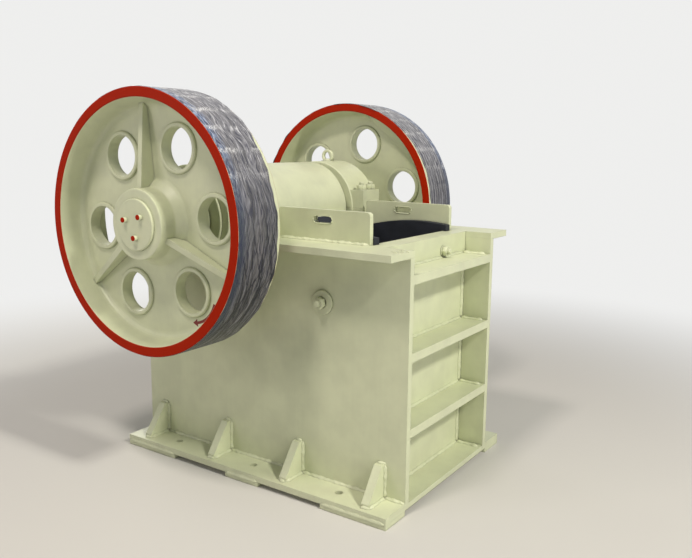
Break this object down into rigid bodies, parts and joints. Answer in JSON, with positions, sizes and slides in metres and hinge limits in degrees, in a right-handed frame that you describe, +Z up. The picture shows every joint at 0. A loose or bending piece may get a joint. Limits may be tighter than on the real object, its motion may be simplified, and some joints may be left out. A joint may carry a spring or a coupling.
{
  "type": "jaw crusher",
  "caption": "Single toggle jaw crusher: a welded plate frame, a fixed and a swinging toothed jaw, and an eccentric shaft with a flywheel and a film wrapped drive pulley.",
  "frame": {"origin": "on the ground plane, under the middle of the overall box", "axes": "+X points out of the ribbed front wall, +Y runs along the shaft to the grooved drive pulley, +Z is up"},
  "size_m": [1.5798, 1.8036, 1.7299],
  "materials": {
    "frame_paint": "pale green enamel over welded plate, satin",
    "casting_paint": "pale green enamel over castings, satin, with red rims",
    "manganese_steel": "black primer on cast manganese steel",
    "machined_steel": "machined, lightly oiled",
    "fasteners": "overpainted bolts and nuts",
    "spring_paint": "red enamel",
    "wrap_film": "grey stretch film, wrinkled and glossy"
  },
  "bodies": {
    "frame": {"side_plate_near": "frame_paint", "side_plate_far": "frame_paint", "top_flange_near": "frame_paint", "top_flange_far": "frame_paint", "base_plate_near": "frame_paint", "base_plate_far": "frame_paint", "levelling_pads": "frame_paint", "base_gussets": "frame_paint", "front_wall": "frame_paint", "front_ribs": "frame_paint", "rear_wall": "frame_paint", "rear_ribs": "frame_paint", "hopper_plate_near": "frame_paint", "hopper_plate_far": "frame_paint", "cheek_liner_near": "manganese_steel", "cheek_liner_far": "manganese_steel", "cheek_bolts": "fasteners", "fixed_jaw_plate": "manganese_steel", "jaw_bolts": "fasteners", "thrust_seat": "frame_paint", "adjusting_shims": "machined_steel", "adjusting_block": "machined_steel", "block_guides": "frame_paint", "bearing_seat_near": "casting_paint", "bearing_seat_far": "casting_paint", "bearing_cap_near": "casting_paint", "bearing_cap_far": "casting_paint", "bearing_studs": "fasteners", "bearing_covers": "casting_paint", "lifting_eyes": "fasteners", "tension_springs": "spring_paint"},
    "jaw": {"pitman": "casting_paint", "pitman_barrel": "casting_paint", "pitman_webs": "casting_paint", "pitman_covers": "casting_paint", "swing_jaw_plate": "manganese_steel", "swing_jaw_clamp": "manganese_steel", "tension_rods": "machined_steel", "rod_nuts": "machined_steel"},
    "toggle": {"toggle_plate": "machined_steel"},
    "rotor": {"eccentric_shaft": "machined_steel", "flywheel": "casting_paint", "grooved_pulley": "casting_paint", "hub_caps": "casting_paint", "wheel_films": "wrap_film"}
  },
  "joints": [
    {"name": "shaft_spin", "type": "hinge", "parent": "frame", "child": "rotor", "pos_m": [-0.233, 0, 1.173], "axis": [0, 1, 0], "continuous": true},
    {"name": "jaw_swing", "type": "hinge", "parent": "frame", "child": "jaw", "pos_m": [-0.233, 0, 1.173], "axis": [0, -1, 0], "range_deg": [0, 0.8], "deforming": ["tension_springs"]},
    {"name": "toggle_swing", "type": "hinge", "parent": "frame", "child": "toggle", "pos_m": [-0.18738, 0, 0.38148], "axis": [0, -1, 0], "range_deg": [0, 1]}
  ],
  "couplings": [
    {"joint": "toggle_swing", "follows": "jaw_swing", "ratio": 1.1}
  ]
}
